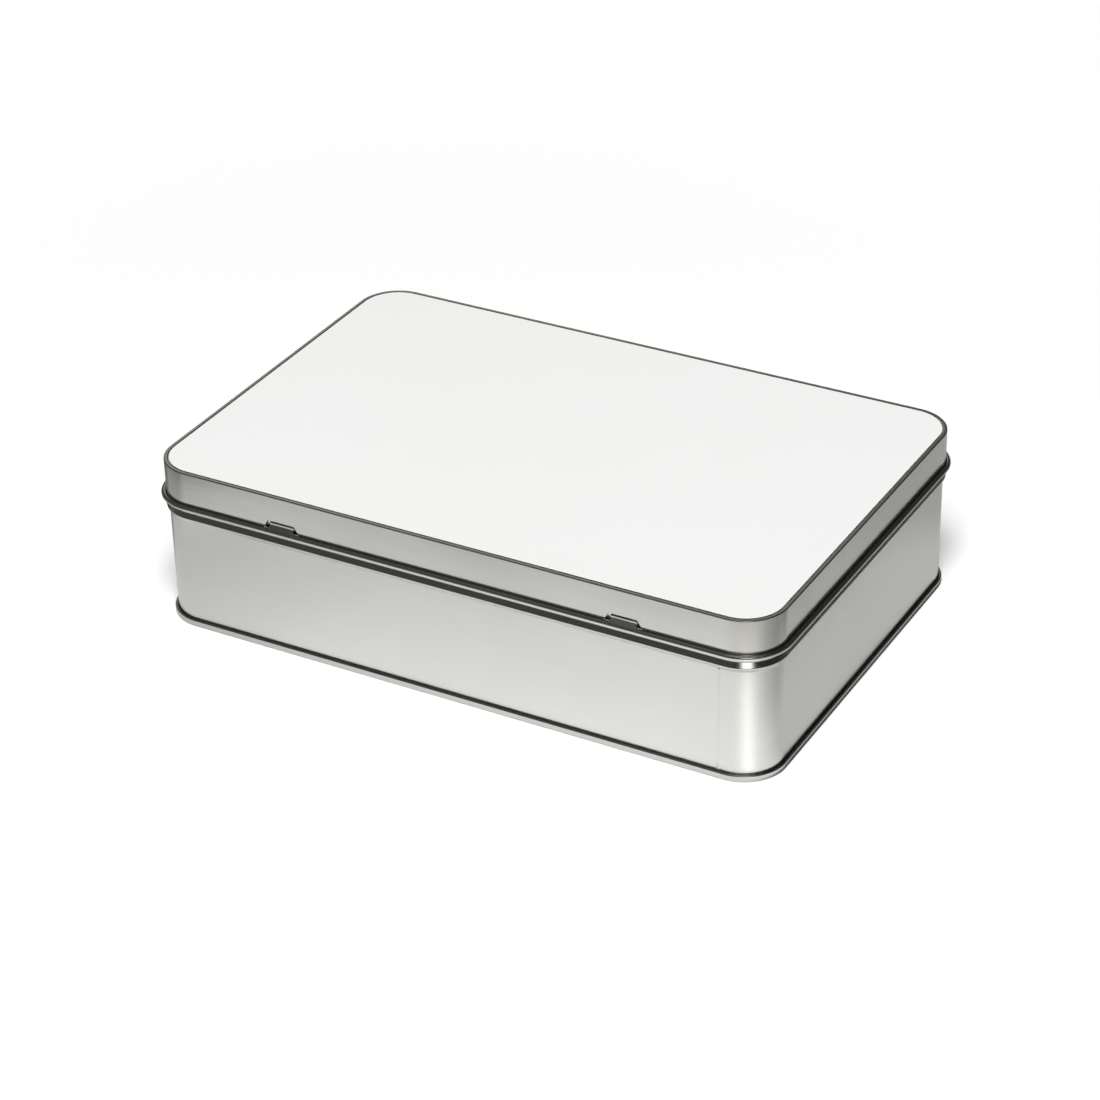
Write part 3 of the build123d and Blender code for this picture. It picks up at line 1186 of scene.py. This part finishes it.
@dataclass(frozen=True)
class Studio:
    """A dim room with a bright skirting of light, a pale table and one large key lamp."""

    skirting: Ramp = Ramp(0.02, 0.2, 0.12, 0.052)
    ceiling: Ramp = Ramp(0.82, 0.98, 0.0, 0.098)
    dark_end: Ramp = Ramp(-0.3, 0.25, 0.42, 1.0)
    paint: Rgba = (1.0, 1.008, 0.9, 1.0)
    bright_side: float = 1.7
    bright_bearing: float = radians(118)
    bright_across: Ramp = Ramp(0.52, 0.62)
    bright_above: Ramp = Ramp(0.5, 0.72)
    patch: Ramp = Ramp(0.955, 0.995, 0.0, 0.24)
    patch_heading: Pair = (radians(308), radians(30))
    window: float = 2.2
    window_heading: Pair = (radians(122), radians(27))
    window_across: Ramp = Ramp(0.10, 0.30, 1.0, 0.0)
    window_up: Ramp = Ramp(0.06, 0.10, 1.0, 0.0)
    table_half: float = 6.0
    key: Softbox = Softbox("key", (-1.30, 2.66, 5.56), (2.4, 2.4), 470.0)

    def _window(self, g: Graph, toward: NodeSocket) -> NodeSocket:
        """Bright strip on the room's wall."""
        middle = heading(*self.window_heading)
        aside = heading(self.window_heading[0] + pi / 2)
        across = g.at(g.math("ABSOLUTE", g.dot(toward, aside)), self.window_across)
        up = g.at(g.math("ABSOLUTE", g.dot(toward, middle.cross(aside))), self.window_up)
        ahead = g.math("GREATER_THAN", g.dot(toward, middle), 0.0)
        return g.product(across, up, ahead, self.window)

    def _bright_side(self, g: Graph, toward: NodeSocket, up: NodeSocket) -> NodeSocket:
        """Lighter upper part of one side of the room."""
        level = g.math("SQRT", g.minus(1.0, g.product(up, up)))
        facing = g.math("DIVIDE", g.dot(toward, heading(self.bright_bearing)), level)
        return g.product(g.at(facing, self.bright_across), g.at(up, self.bright_above), self.bright_side)

    def _patch(self, g: Graph, toward: NodeSocket) -> NodeSocket:
        """Soft light patch on the wall behind the tin."""
        return g.at(g.dot(toward, heading(*self.patch_heading)), self.patch)

    def _world(self) -> bpy.types.World:
        """White where seen directly, otherwise bright near the horizon and dim above.

        The strip, the lighter side and the patch are seen in the metal only.
        """
        world = bpy.data.worlds.new("studio")
        world.use_nodes = True
        world.node_tree.nodes.clear()
        g = Graph(world.node_tree)
        toward = g.node("ShaderNodeTexCoord").outputs["Generated"]
        xyz = g.split(toward)
        mirrored = g.ray("Is Glossy Ray")
        bright = g.product(self._bright_side(g, toward, xyz["Z"]), mirrored)
        window = g.product(self._window(g, toward), mirrored)
        patch = g.product(self._patch(g, toward), mirrored)
        dim = g.total(g.at(xyz["Z"], self.skirting), g.at(xyz["Z"], self.ceiling))
        tone = g.total(g.product(dim, g.total(g.at(xyz["X"], self.dark_end), bright)), window, patch)
        color = g.mix(window, self.paint, WHITE)
        room = g.node("ShaderNodeBackground", {"Color": color, "Strength": tone})
        white = g.node("ShaderNodeBackground", {"Color": WHITE, "Strength": 1.0})
        seen = g.ray("Is Camera Ray")
        both = g.node("ShaderNodeMixShader", {0: seen, 1: room.outputs[0], 2: white.outputs[0]})
        g.node("ShaderNodeOutputWorld", {"Surface": both.outputs[0]})
        return world

    def build(self, table_finish: Material) -> None:
        """Set the world, the table and the lamp."""
        bpy.context.scene.world = self._world()
        bm = bmesh.new()
        bmesh.ops.create_grid(bm, x_segments=8, y_segments=8, size=self.table_half)
        table = finished_mesh("table_top", bm)
        table.data.materials.append(table_finish)
        self.key.build()


def main() -> None:
    """Build the tin, its studio and the camera, in order."""
    logging.basicConfig(level=logging.INFO, format="%(message)s")
    bpy.context.scene.view_settings.view_transform = "Standard"
    Camera().build()
    effects = Effects()
    sizes = TinSizes()
    wall_inside = InnerFace(sizes.body_outline, low=3.0 * MM, high=48.8 * MM)
    lid_inside = InnerFace(sizes.lid_outline, low=0.0, high=sizes.height - 0.15 * MM)
    floor_inside = InnerFace(sizes.body_outline, low=3.5 * MM, high=10.0 * MM)
    wall_tin = Tinplate("body_tinplate_satin", Grain.ROUND_THE_WALL, inner=wall_inside)
    weld_tin = Tinplate("weld_lap_tinplate", Grain.ALONG_X, (0.77, 0.77, 0.758), 0.22)
    lid_tin = Tinplate("lid_tinplate_satin", Grain.ALONG_X, inner=lid_inside)
    floor_tin = Tinplate("bottom_tinplate_satin", Grain.ALONG_X, (0.77, 0.77, 0.76), inner=floor_inside)
    built = [
        BodyWall(sizes).build(wall_tin.build(effects), weld_tin.build(effects)),
        BottomPanel(sizes).build(floor_tin.build(effects)),
        LidShell(sizes).build(lid_tin.build(effects)),
        Adhesive().build(AdhesiveFilm("milky_adhesive").build()),
        PrintPlate(sizes).build(CoatedPlate("white_coating_semimatte").build(effects)),
    ]
    for piece in built:
        LOG.info("built %s with %d faces", piece.name, len(piece.data.polygons))
    Studio().build(PaleSurface("white_table").build())


if __name__ == "__main__":
    main()
